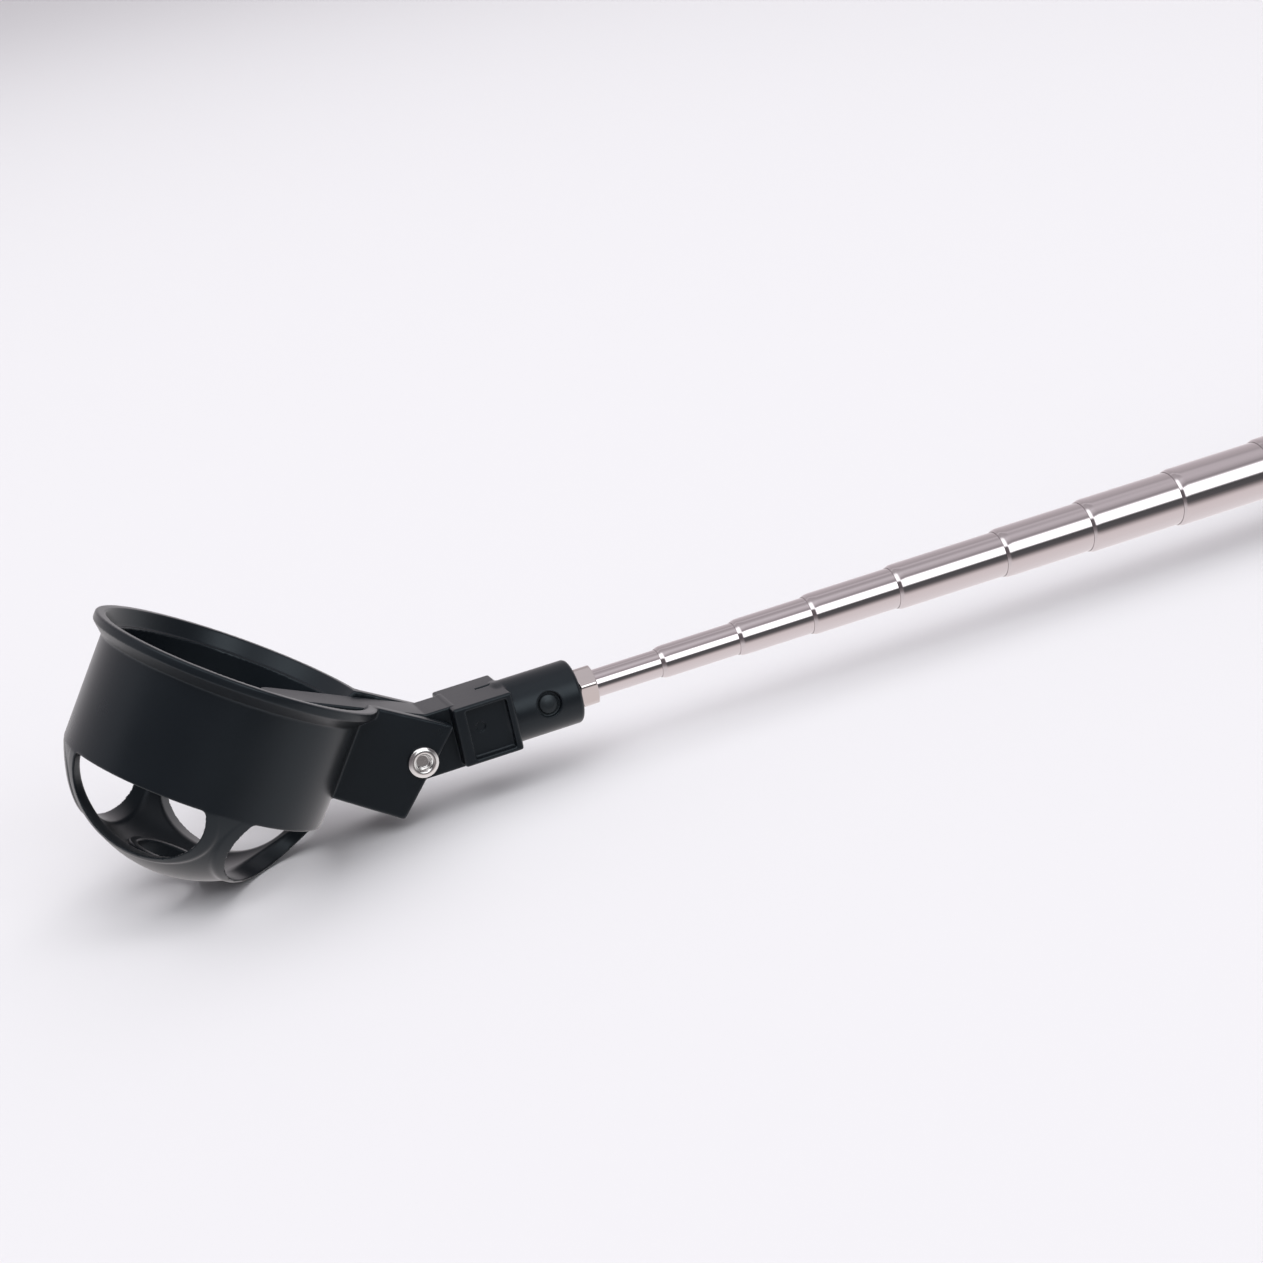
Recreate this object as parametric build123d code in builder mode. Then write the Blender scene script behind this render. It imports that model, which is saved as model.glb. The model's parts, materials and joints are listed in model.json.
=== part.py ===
"""Telescopic ball retriever with a hinged, self-locking scoop cup.

Frame: X runs along the shaft from the cup to the handle, Y is the hinge axis, Z is up.
The origin is on the ground, under the middle of the retriever as it lies at rest.
Places along the shaft are given as distances from the hinge pin.
"""
import os
from math import asin, cos, radians, sin, sqrt

from build123d import *

# ---- Scoop cup, measured from its rim plane and its own axis ----
cup_tilt = 35.0            # rim plane against the shaft, degrees
cup_offset = 40.5          # hinge pin to the cup's axis, along the rim plane
rim_height = 7.4           # rim plane above the hinge pin
rim_radius = 29.05
rim_face = 2.0             # width of the flat ring on top of the rim
rim_edge = 1.7             # height of the rim's outer edge
rim_break = 0.3            # broken corner at the top of the rim
funnel_depth = 3.2         # the mouth narrows over this depth
lip_depth = 4.0            # the flared lip meets the wall here
wall_radius = 26.5
wall_thickness = 1.65
ledge_width = 0.6          # step at the foot of the funnel
dome_depth = 16.8          # centre of the round bottom, below the rim
dome_radius = 27.9
dome_thickness = 1.9
drain_radius = 6.0
drain_lip_radius = 7.8
drain_lip_height = 0.9
window_half = 15.0         # half the width of a window
window_fall = 11.7         # a window's round part falls this far below its widest place
window_depth = 25.6        # straight top edge of each window, below the rim
window_belly = 2.4         # a window is widest this far below its top edge
window_turn = 4.0          # windows stand this far round from the hinge, degrees
window_count = 4
frame_side = 2.2           # raised frame round each window, at its sides
frame_foot = 1.0           # and at its foot
frame_radius = 27.4        # the frames rise out of the round bottom towards their feet
frame_shift = 1.6          # their faces are centred this far below the dome centre
frame_drop = 0.4090        # the cup lies on its frames, this far below the round bottom

# ---- Hinge cheeks on the cup ----
cheek_inner = 5.3          # half the gap between the cheeks
cheek_outer = 8.2          # half the width over the cheeks
cheek_tail = 15.6          # cheeks run back into the cup wall
cheek_foot = 12.3          # cheeks reach this far below the pin
cheek_heel = 0.9
cheek_nose = 3.7
cheek_top = 8.8            # top corner of the cheeks, above the pin
cheek_rim = 13.3           # the cheeks meet the rim here
cheek_rise = 0.1           # and stand this far above it
finger_slot_depth = 5.6    # notch in the rim for the lock finger
finger_slot_start = 21.2   # the notch runs from here out past the rim
finger_slot_end = 9.2

# ---- Hinge rivet ----
rivet_radius = 1.6
rivet_bore = 1.65
rivet_head_radius = 3.2
rivet_head_height = 0.9
rivet_recess_radius = 1.5
rivet_recess_depth = 1.6

# ---- Pivot neck ----
pin_drop = 1.9             # hinge pin below the shaft's axis
tongue_half = 5.0
tongue_bottom = 6.8        # below the shaft's axis
box_front = 8.4
box_back = 20.9
box_half = 7.9
box_top = 6.3
box_bottom = 6.1
pocket_depth = 1.4
pocket_length = 8.8
pocket_height = 10.4
pocket_corner = 0.5
pocket_place = 15.15       # middle of the side pockets
pocket_lift = 0.1
mark_length = 4.2          # small sunk mark on top of the box
mark_width = 0.7
mark_depth = 0.8
mark_place = 18.0
mark_side = 1.1
barrel_radius = 6.7
barrel_end = 35.6
barrel_edge = 0.9          # rounding at the barrel's end
crease = 3.4               # the lock finger leaves the tongue's top here
finger_rise = 24.1         # finger against the shaft, degrees
finger_length = 32.2
finger_thickness = 2.4
finger_corner = 2.5
stud_bore = 2.5
screw_place = 28.4
screw_turn = 8.0           # set screw above the horizontal, degrees
screw_radius = 1.5
screw_well_radius = 2.6
screw_well_depth = 1.4
screw_sink = 0.6           # the screw's head lies this far below the barrel's surface
screw_edge = 0.7
fixed_play = 0.02          # clearance between pieces that do not move on each other

# ---- Stud and lock nut ----
stud_radius = 2.45
stud_start = 23.0
stud_end = 56.0
nut_start = 36.0
nut_end = 39.8
nut_flats = 8.0
nut_turn = 10.0            # how far the nut is turned from having a flat upright
nut_corner = 4.45          # the nut's corners are turned down to this radius
stud_end_break = 0.5

# ---- Telescopic shaft ----
first_tube_radius = 2.92
tube_step = 0.5            # growth of the radius from tube to tube
tube_wall = 0.3
mouth_play = 0.05          # running clearance in each rolled mouth
mouth_length = 1.6
mouth_lip = 0.07           # thickness of the rolled edge
mouth_shoulder = 0.38      # height of the shoulder behind it
mouth_round = 0.75         # distance from the edge to the shoulder
mouth_taper = 0.4          # the bore opens out over this length
tube_fronts = [39.9, 54.4, 71.8, 88.5, 108.4, 133.8, 154.5, 176.5, 199.0]
tube_lengths = [265.0, 255.0, 245.0, 235.0, 225.0, 215.0, 205.0, 195.0, 195.0]
ring_length = 12.0
ring_thickness = 0.16
ring_play = 0.02           # the thinnest tube turns in its ring
flare_length = 0.4
flare_height = 0.12

# ---- Handle ----
collar_front = 213.0
collar_length = 11.0
collar_front_radius = 8.4
collar_edge_radius = 9.2
collar_edge = 1.2
core_radius = 10.0
core_end = 394.0
grip_start = 222.0
grip_taper_end = 262.0
grip_front_radius = 11.4
grip_rear_break = 0.8
plug_start = 386.0
plug_radius = 6.6
cap_thickness = 4.5
cap_radius = 12.9
cap_edge = 1.8
tab_reach = 13.0
tab_half_width = 8.5
tab_thickness = 8.0
tab_overlap = 1.0          # the tab's root reaches this far into the cap
lanyard_radius = 2.5
spigot_radius = 3.0

# ---- Derived places ----
tilt = radians(cup_tilt)
head_x = (cos(tilt), 0, -sin(tilt))
head_z = (sin(tilt), 0, cos(tilt))
dome_centre_height = cup_offset * sin(tilt) + (rim_height - dome_depth) * cos(tilt) - pin_drop
axis_height = dome_radius + frame_drop - dome_centre_height   # shaft axis above the ground
grip_radius = axis_height                        # the grip lies on the ground too
pin_x = -172.3075                                # puts the origin at the middle of the length
pin_z = axis_height - pin_drop


def across_shaft(place):
    """Plane across the shaft, facing the handle."""
    return Plane(origin=(pin_x + place, 0, axis_height), x_dir=(0, 1, 0), z_dir=(1, 0, 0))


def along_shaft():
    """Upright plane through the shaft: X along the shaft from the pin, Y up from its axis."""
    return Plane(origin=(pin_x, 0, axis_height), x_dir=(1, 0, 0), z_dir=(0, -1, 0))


def head_section():
    """Upright plane through the cup: X along the rim plane from the pin, Y towards the mouth."""
    return Plane(origin=(pin_x, 0, pin_z), x_dir=head_x, z_dir=(0, -1, 0))


def head_point(along, up):
    """World position of a point of the head section."""
    x = pin_x + along * cos(tilt) + up * sin(tilt)
    z = pin_z - along * sin(tilt) + up * cos(tilt)
    return (x, 0, z)


def cup_axis():
    """The cup's own axis, pointing out of its mouth."""
    return Axis(head_point(-cup_offset, rim_height), head_z)


def dome_height(radius, sphere):
    """Height of a sphere about the dome centre, at a radius from the cup's axis."""
    return rim_height - dome_depth - sqrt(sphere ** 2 - radius ** 2)


def dome_point(radius, sphere):
    """Point of the head section on the round bottom."""
    return (-cup_offset + radius, dome_height(radius, sphere))


def half_angle_radius(low, high, sphere):
    """Radius half way round the dome between two radii."""
    return sphere * sin((asin(low / sphere) + asin(high / sphere)) / 2)


def cup_profile():
    """Closed outline of the turned cup, right of its axis."""
    inner_wall = wall_radius - wall_thickness
    inner_dome = dome_radius - dome_thickness
    mid_outer = half_angle_radius(drain_radius, wall_radius, dome_radius)
    mid_inner = half_angle_radius(drain_lip_radius, inner_wall, inner_dome)
    top = rim_height
    funnel_foot = inner_wall + ledge_width

    def at(radius, height):
        return (-cup_offset + radius, height)

    drain_top = dome_height(drain_lip_radius, inner_dome) + drain_lip_height
    wall_foot = at(wall_radius, dome_height(wall_radius, dome_radius))
    inner_foot = at(inner_wall, dome_height(inner_wall, inner_dome))
    drain_outer = dome_point(drain_radius, dome_radius)
    drain_inner = dome_point(drain_lip_radius, inner_dome)
    ThreePointArc(drain_outer, dome_point(mid_outer, dome_radius), wall_foot)
    Polyline(
        wall_foot,
        at(wall_radius, top - lip_depth),
        at(rim_radius, top - rim_edge),
        at(rim_radius, top - rim_break),
        at(rim_radius - rim_break, top),
        at(rim_radius - rim_face, top),
        at(funnel_foot, top - funnel_depth),
        at(inner_wall, top - funnel_depth),
        inner_foot,
    )
    ThreePointArc(inner_foot, dome_point(mid_inner, inner_dome), drain_inner)
    Polyline(
        drain_inner,
        at(drain_lip_radius, drain_top),
        at(drain_radius, drain_top),
        drain_outer,
    )


def window_plane(azimuth):
    """Plane through the cup's axis, facing out along an azimuth round that axis."""
    mouth = Plane(origin=head_point(-cup_offset, rim_height - window_depth), x_dir=head_x, z_dir=head_z)
    outward = mouth.x_dir.rotate(Axis((0, 0, 0), head_z), azimuth)
    return Plane(origin=mouth.origin, x_dir=mouth.z_dir.cross(outward), z_dir=outward)


def window_shape(index, side, foot):
    """Sketch of a window, made larger at its sides and foot."""
    azimuth = window_turn + (index + 0.5) * 360 / window_count
    with BuildSketch(window_plane(azimuth)) as shape:
        with Locations((0, -window_belly)):
            Ellipse(window_half + side, window_fall + foot)
        with Locations((0, window_half)):
            Rectangle(4 * window_half, 2 * window_half, mode=Mode.SUBTRACT)
    return shape.sketch


def make_window_frames():
    """Raised frames round the windows, before the windows are cut."""
    centre = Vector(-cup_offset, rim_height - dome_depth)
    low_centre = centre - Vector(0, frame_shift)
    up = Vector(0, frame_radius)
    right = Vector(frame_radius, 0)
    hollow = (dome_radius - dome_thickness / 2) / frame_radius
    with BuildPart(mode=Mode.PRIVATE) as frames:
        for index in range(window_count):
            extrude(window_shape(index, frame_side, frame_foot), amount=rim_radius)
        with BuildSketch(head_section()):
            with BuildLine():
                ThreePointArc(low_centre + up, low_centre + right, low_centre - up)
                Line(low_centre - up, low_centre + up)
            make_face()
        revolve(axis=cup_axis(), revolution_arc=360, mode=Mode.INTERSECT)
        with BuildSketch(head_section()):
            with BuildLine():
                ThreePointArc(centre + up * hollow, centre + right * hollow, centre - up * hollow)
                Line(centre - up * hollow, centre + up * hollow)
            make_face()
        revolve(axis=cup_axis(), revolution_arc=360, mode=Mode.SUBTRACT)
    return frames.part


def make_scoop_cup():
    """Turned cup with four framed windows, a notch for the finger and two hinge cheeks."""
    with BuildPart() as scoop_cup:
        with BuildSketch(head_section()):
            with BuildLine():
                cup_profile()
            make_face()
        revolve(axis=cup_axis(), revolution_arc=360)
        add(make_window_frames())
        for index in range(window_count):
            extrude(window_shape(index, 0, 0), amount=rim_radius, mode=Mode.SUBTRACT)
        cheek_thickness = cheek_outer - cheek_inner
        for near_face in (cheek_outer, -cheek_inner):
            with BuildSketch(head_section().offset(near_face)):
                Polygon(
                    (-cheek_tail, -cheek_foot),
                    (cheek_heel, -cheek_foot),
                    (cheek_nose, cheek_top),
                    (-cheek_rim, rim_height + cheek_rise),
                    (-cheek_tail, rim_height - funnel_depth),
                    align=None,
                )
            extrude(amount=-cheek_thickness)
        with BuildSketch(head_section()):
            with Locations((-(finger_slot_start + finger_slot_end) / 2, rim_height)):
                Rectangle(finger_slot_start - finger_slot_end, 2 * finger_slot_depth)
        extrude(amount=cheek_inner, both=True, mode=Mode.SUBTRACT)
        with BuildSketch(head_section()):
            Circle(rivet_bore)
        extrude(amount=2 * cheek_outer, both=True, mode=Mode.SUBTRACT)
    return scoop_cup.part


def make_hinge_rivet():
    """Tubular rivet: plain shank and a rolled head at each end."""
    with BuildPart() as hinge_rivet:
        with BuildSketch(head_section()):
            Circle(rivet_radius)
        extrude(amount=cheek_outer, both=True)
        for side in (1, -1):
            with BuildSketch(head_section().offset(side * cheek_outer)):
                Circle(rivet_head_radius)
            extrude(amount=side * rivet_head_height)
        outer_rims = hinge_rivet.edges().filter_by(GeomType.CIRCLE).group_by(Axis.Y)
        fillet(outer_rims[0] + outer_rims[-1], rivet_head_height / 2)
        for side in (1, -1):
            with BuildSketch(head_section().offset(side * (cheek_outer + rivet_head_height))):
                Circle(rivet_recess_radius)
            extrude(amount=-side * rivet_recess_depth, mode=Mode.SUBTRACT)
    return hinge_rivet.part


def tongue_outline():
    """Side outline of the tongue and its lock finger."""
    rise = radians(finger_rise)
    tip_top = (crease - finger_length * cos(rise), box_top + finger_length * sin(rise))
    tip_low = (tip_top[0] - finger_thickness * sin(rise), tip_top[1] - finger_thickness * cos(rise))
    nose = tongue_bottom - pin_drop
    root_height = tip_low[1] - (-nose - tip_low[0]) * sin(rise) / cos(rise)
    Polyline(
        (0, -tongue_bottom),
        (box_front + 1, -tongue_bottom),
        (box_front + 1, box_top),
        (crease, box_top),
        tip_top,
        tip_low,
        (-nose, root_height),
        (-nose, -pin_drop),
    )
    bulge = nose * sin(radians(45))
    ThreePointArc((-nose, -pin_drop), (-bulge, -pin_drop - bulge), (0, -tongue_bottom))


def set_screw_plane(distance):
    """Plane across the set screw, at a distance from the shaft's axis."""
    turn = radians(screw_turn)
    outward = Vector(0, -cos(turn), sin(turn))
    origin = Vector(pin_x + screw_place, 0, axis_height) + outward * distance
    return Plane(origin=origin, x_dir=(1, 0, 0), z_dir=outward)


def make_pivot_neck():
    """One moulding: tongue with lock finger, square box and round barrel."""
    box_mid = (box_front + box_back) / 2
    with BuildPart() as pivot_neck:
        with BuildSketch(along_shaft()):
            with BuildLine():
                tongue_outline()
            make_face()
        extrude(amount=tongue_half, both=True)
        tip_face = pivot_neck.faces().sort_by(Axis.X)[0]
        tip_corners = tip_face.edges().filter_by(lambda edge: abs(edge.center().Y) > tongue_half - 1)
        fillet(tip_corners, finger_corner)
        with BuildSketch(along_shaft()):
            with Locations((box_mid, (box_top - box_bottom) / 2)):
                Rectangle(box_back - box_front, box_top + box_bottom)
        extrude(amount=box_half, both=True)
        for side in (1, -1):
            with BuildSketch(along_shaft().offset(side * box_half)):
                with Locations((pocket_place, pocket_lift)):
                    RectangleRounded(pocket_length, pocket_height, pocket_corner)
            extrude(amount=-side * pocket_depth, mode=Mode.SUBTRACT)
        with BuildSketch(Plane.XY.offset(axis_height + box_top)):
            with Locations((pin_x + mark_place, mark_side)):
                Rectangle(mark_length, mark_width)
        extrude(amount=-mark_depth, mode=Mode.SUBTRACT)
        with BuildSketch(across_shaft(box_back - 0.5)):
            Circle(barrel_radius)
        extrude(amount=barrel_end - box_back + 0.5)
        barrel_rim = pivot_neck.faces().sort_by(Axis.X)[-1].edges()
        fillet(barrel_rim, barrel_edge)
        with BuildSketch(across_shaft(stud_start - 1)):
            Circle(stud_bore)
        extrude(amount=barrel_end - stud_start + 2, mode=Mode.SUBTRACT)
        with BuildSketch(head_section()):
            Circle(rivet_bore)
        extrude(amount=2 * cheek_outer, both=True, mode=Mode.SUBTRACT)
        with BuildSketch(set_screw_plane(0)):
            Circle(screw_radius + fixed_play)
        extrude(amount=barrel_radius + 1, mode=Mode.SUBTRACT)
        with BuildSketch(set_screw_plane(barrel_radius - screw_well_depth)):
            Circle(screw_well_radius)
        extrude(amount=screw_well_depth + 1, mode=Mode.SUBTRACT)
    return pivot_neck.part


def make_set_screw():
    """Set screw with a domed head that stops the stud turning."""
    start = stud_radius + fixed_play
    length = barrel_radius - screw_sink - start
    with BuildPart() as neck_set_screw:
        with BuildSketch(set_screw_plane(start)):
            Circle(screw_radius)
        extrude(amount=length)
        fillet(neck_set_screw.faces().sort_by(Axis.Y)[0].edges(), screw_edge)
    return neck_set_screw.part


def make_tip_stud():
    """Stud held in the end of the thinnest tube."""
    with BuildPart() as tip_stud:
        with BuildSketch(across_shaft(stud_start)):
            Circle(stud_radius)
        extrude(amount=stud_end - stud_start)
        chamfer(tip_stud.edges().filter_by(GeomType.CIRCLE), stud_end_break)
    return tip_stud.part


def make_lock_nut():
    """Hexagon nut that locks the stud against the barrel."""
    with BuildPart() as lock_nut:
        with BuildSketch(across_shaft(nut_start)):
            RegularPolygon(nut_flats / 2, 6, major_radius=False, rotation=30 + nut_turn)
            Circle(stud_bore, mode=Mode.SUBTRACT)
        extrude(amount=nut_end - nut_start)
        with BuildSketch(across_shaft(nut_start)):
            Circle(nut_corner)
        extrude(amount=nut_end - nut_start, mode=Mode.INTERSECT)
    return lock_nut.part


def tube_radius(number):
    """Outer radius of a tube; the thinnest is number 1."""
    return first_tube_radius + (number - 1) * tube_step


def tube_tail(number):
    """Where a tube ends inside its neighbour, from the hinge pin."""
    return tube_fronts[number - 1] + tube_lengths[number - 1]


def make_tube(number):
    """Drawn tube with a rolled mouth and a slightly flared tail."""
    outer = tube_radius(number)
    inner = outer - tube_wall
    front = tube_fronts[number - 1]
    tail = tube_tail(number)
    if number == 1:
        mouth = [(front, inner), (front, outer)]
        inside = [(tail, inner)]
    else:
        guide = tube_radius(number - 1) + mouth_play
        shoulder = (front + mouth_round, guide + mouth_shoulder)
        mouth = [(front, guide), (front, guide + mouth_lip), shoulder, (front + mouth_length, outer)]
        bore_start = (front + mouth_length + mouth_taper, inner)
        inside = [(tail, inner), bore_start, (front + mouth_length, guide)]
    flared = number < len(tube_fronts)
    lift = flare_height if flared else 0
    outside = [(tail - flare_length, outer), (tail - flare_length, outer + lift), (tail, outer + lift)]
    with BuildPart() as tube:
        with BuildSketch(along_shaft()):
            Polygon(*mouth, *(outside if flared else outside[2:]), *inside, align=None)
        revolve(axis=Axis((pin_x, 0, axis_height), (1, 0, 0)), revolution_arc=360)
    return tube.part


def make_friction_ring(number):
    """Thin bronze spring ring near a tube's tail; it drags in the next tube and stops at its mouth."""
    play = ring_play if number == 1 else 0
    end = tube_tail(number) - flare_length
    with BuildPart() as ring:
        with BuildSketch(across_shaft(end - ring_length)):
            Circle(tube_radius(number) + ring_thickness)
            Circle(tube_radius(number) + play, mode=Mode.SUBTRACT)
        extrude(amount=ring_length)
    return ring.part


def make_tail_plug():
    """Plug in the tail of the thickest tube; the end cap screws into it."""
    with BuildPart() as tail_plug:
        with BuildSketch(across_shaft(plug_start)):
            Circle(plug_radius)
            Circle(spigot_radius, mode=Mode.SUBTRACT)
        extrude(amount=core_end - plug_start)
    return tail_plug.part


def make_grip_collar():
    """Tapered collar where the shaft enters the handle."""
    bore = tube_radius(len(tube_fronts)) + fixed_play
    with BuildPart() as grip_collar:
        with BuildSketch(along_shaft()):
            Polygon(
                (collar_front, bore),
                (collar_front, collar_front_radius),
                (collar_front + collar_edge, collar_edge_radius),
                (grip_start, grip_front_radius),
                (grip_start, core_radius),
                (collar_front + collar_length, core_radius),
                (collar_front + collar_length, bore),
                align=None,
            )
        revolve(axis=Axis((pin_x, 0, axis_height), (1, 0, 0)), revolution_arc=360)
    return grip_collar.part


def make_handle_core():
    """Stiff sleeve between the thickest tube and the grip."""
    start = collar_front + collar_length
    with BuildPart() as handle_core:
        with BuildSketch(across_shaft(start)):
            Circle(core_radius)
            Circle(tube_radius(len(tube_fronts)) + fixed_play, mode=Mode.SUBTRACT)
        extrude(amount=core_end - start)
    return handle_core.part


def make_handle_grip():
    """Rubber grip: tapered front, straight barrel, rounded rear edge."""
    with BuildPart() as handle_grip:
        with BuildSketch(along_shaft()):
            Polygon(
                (grip_start, core_radius),
                (grip_start, grip_front_radius),
                (grip_taper_end, grip_radius),
                (core_end - grip_rear_break, grip_radius),
                (core_end, grip_radius - grip_rear_break),
                (core_end, core_radius),
                align=None,
            )
        revolve(axis=Axis((pin_x, 0, axis_height), (1, 0, 0)), revolution_arc=360)
    return handle_grip.part


def make_end_cap():
    """Cap with a threaded spigot and a tab with the lanyard hole."""
    tab_root = core_end + cap_thickness - tab_overlap
    tab_centre = core_end + cap_thickness + tab_reach - tab_half_width
    with BuildPart() as end_cap:
        with BuildSketch(across_shaft(core_end)):
            Circle(cap_radius)
        extrude(amount=cap_thickness)
        fillet(end_cap.faces().sort_by(Axis.X)[-1].edges(), cap_edge)
        with BuildSketch(across_shaft(plug_start + 1)):
            Circle(spigot_radius)
        extrude(amount=core_end - plug_start - 1)
        with BuildSketch(along_shaft()):
            with Locations((tab_centre, 0)):
                Circle(tab_half_width)
            with Locations(((tab_root + tab_centre) / 2, 0)):
                Rectangle(tab_centre - tab_root, 2 * tab_half_width)
        extrude(amount=tab_thickness / 2, both=True)
        with BuildSketch(along_shaft()):
            with Locations((tab_centre, 0)):
                Circle(lanyard_radius)
        extrude(amount=tab_thickness, both=True, mode=Mode.SUBTRACT)
    return end_cap.part


def save(part, name):
    """Label a finished piece and write it."""
    part.label = name
    export_step(part, f"parts/{name}.step")


os.makedirs("parts", exist_ok=True)
save(make_scoop_cup(), "scoop_cup")
save(make_hinge_rivet(), "hinge_rivet")
save(make_pivot_neck(), "pivot_neck")
save(make_set_screw(), "neck_set_screw")
save(make_tip_stud(), "tip_stud")
save(make_lock_nut(), "lock_nut")
for number in range(1, len(tube_fronts) + 1):
    save(make_tube(number), f"shaft_tube_{number}")
for number in range(1, len(tube_fronts)):
    save(make_friction_ring(number), f"friction_ring_{number}")
save(make_tail_plug(), "tail_plug")
save(make_grip_collar(), "grip_collar")
save(make_handle_core(), "handle_core")
save(make_handle_grip(), "handle_grip")
save(make_end_cap(), "end_cap")
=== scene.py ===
"""Telescopic ball retriever lying on a pale floor, seen from above the cup."""

import json
import math

import bpy
import numpy as np
from mathutils import Matrix, Vector


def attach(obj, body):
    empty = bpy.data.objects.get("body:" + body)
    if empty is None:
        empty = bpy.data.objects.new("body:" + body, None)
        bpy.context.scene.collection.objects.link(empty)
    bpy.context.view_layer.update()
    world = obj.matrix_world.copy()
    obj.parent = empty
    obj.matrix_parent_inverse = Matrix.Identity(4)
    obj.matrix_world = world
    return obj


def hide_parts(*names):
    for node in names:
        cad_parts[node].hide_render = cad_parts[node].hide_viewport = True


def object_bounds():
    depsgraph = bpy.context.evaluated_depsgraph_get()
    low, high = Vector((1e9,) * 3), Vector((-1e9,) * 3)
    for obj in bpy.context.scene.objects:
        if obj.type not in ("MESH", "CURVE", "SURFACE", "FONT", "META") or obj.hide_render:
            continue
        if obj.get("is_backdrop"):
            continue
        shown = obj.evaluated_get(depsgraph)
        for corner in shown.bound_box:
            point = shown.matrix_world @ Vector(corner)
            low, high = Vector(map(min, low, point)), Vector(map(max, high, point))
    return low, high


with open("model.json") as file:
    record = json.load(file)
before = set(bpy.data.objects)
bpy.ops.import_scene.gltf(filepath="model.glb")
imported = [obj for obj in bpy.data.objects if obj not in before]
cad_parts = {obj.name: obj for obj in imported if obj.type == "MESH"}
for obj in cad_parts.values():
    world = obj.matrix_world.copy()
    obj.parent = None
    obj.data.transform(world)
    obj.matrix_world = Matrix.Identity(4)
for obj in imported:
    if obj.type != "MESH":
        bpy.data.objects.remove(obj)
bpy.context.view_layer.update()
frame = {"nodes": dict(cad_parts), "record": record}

# ---- Places and sizes, millimetres; places along the shaft are from the hinge pin ----
PIN_X = -172.3075
AXIS_Z = 14.679184
PIN_DROP = 1.9
PIN_Z = AXIS_Z - PIN_DROP
TILT = math.radians(35)

CUP_OFFSET = 40.5
RIM_HEIGHT = 7.4
RIM_RADIUS = 29.05
RIM_FACE = 2.0
RIM_EDGE = 1.7
FUNNEL_DEPTH = 3.2
LIP_DEPTH = 4.0
WALL_RADIUS = 26.5
WALL = 1.65
LEDGE = 0.6
DOME_DEPTH = 16.8
DOME_RADIUS = 27.9
DOME_THICKNESS = 1.9
DRAIN_RADIUS = 6.0
DRAIN_LIP_RADIUS = 7.8
DRAIN_LIP = 0.9
WINDOW_HALF = 15.0
WINDOW_FALL = 11.7
WINDOW_DEPTH = 25.6
WINDOW_BELLY = 2.4
WINDOW_TURN = 4.0
CHEEK_IN = 5.3
CHEEK_OUT = 8.2
CHEEK = [(-15.6, -12.3), (0.9, -12.3), (3.7, 8.8), (-13.3, 7.5), (-15.6, 4.2)]
NOTCH_START = -21.2
NOTCH_END = -9.2
NOTCH_DEPTH = 5.6
NOTCH_ABOVE = 4.0
FRAME_SIDE = 2.2
FRAME_FOOT = 1.0
FRAME_RADIUS = 27.4
FRAME_SHIFT = 1.6
FRAME_SKIN = 0.9
FRAME_FROM_AXIS = 0.5

RIVET_SHANK = 1.6
RIVET_HEAD = 3.2
RIVET_RISE = 0.9
RIVET_RECESS = 0.7

BORE = 1.65
TONGUE_HALF = 5.0
TONGUE_BOTTOM = 6.8
TONGUE_TURNS = 16
BOX_FRONT = 8.4
BOX_BACK = 20.9
BOX_HALF = 7.9
BOX_TOP = 6.3
BOX_BOTTOM = 6.1
POCKET_PLACE = 15.15
POCKET_HEIGHT = 0.1
POCKET_DEPTH = 1.4
POCKET_HALF = (4.4, 5.0, 5.2)
MARK_PLACE = 13.5
MARK_HEIGHT = 0.9
MARK_RADIUS = 1.0
MARK_FLOOR = 6.2
SLOT_PLACE = (18.0, 1.1)
SLOT_HALF = (2.1, 0.35, 0.8)
BARREL_RADIUS = 6.7
BARREL_START = 18.9
BARREL_END = 35.6
STUD_BORE_START = 22.0
CREASE = 3.4
FINGER_RISE = math.radians(24.1)
FINGER_LENGTH = 32.2
FINGER_THICKNESS = 2.4
FINGER_CORNER = 2.5
SCREW_PLACE = 28.4
SCREW_TURN = math.radians(8)
SCREW_RADIUS = 1.5
WELL_RADIUS = 2.6
WELL_DEPTH = 1.4

NUT_START = 36.0
NUT_END = 39.8
NUT_HALF_FLATS = 4.0
NUT_CORNER = 4.45
NUT_TURNS = (10, 70, 130)
NUT_CHAMFER_RADIUS = 4.1
NUT_CHAMFER_SLOPE = 1.6
STUD_BORE = 2.5

FIRST_RADIUS = 2.92
STEP = 0.5
TUBE_WALL = 0.3
PLAY = 0.05
MOUTH_LIP = 0.07
MOUTH_ROUND = 0.75
MOUTH_SHOULDER = 0.38
MOUTH_LENGTH = 1.6
MOUTH_INSIDE = 2.0
FLARE = 0.12
FLARE_LENGTH = 0.4
FRONTS = [39.9, 54.4, 71.8, 88.5, 108.4, 133.8, 154.5, 176.5, 199.0]
LENGTHS = [265.0, 255.0, 245.0, 235.0, 225.0, 215.0, 205.0, 195.0, 195.0]

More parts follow.
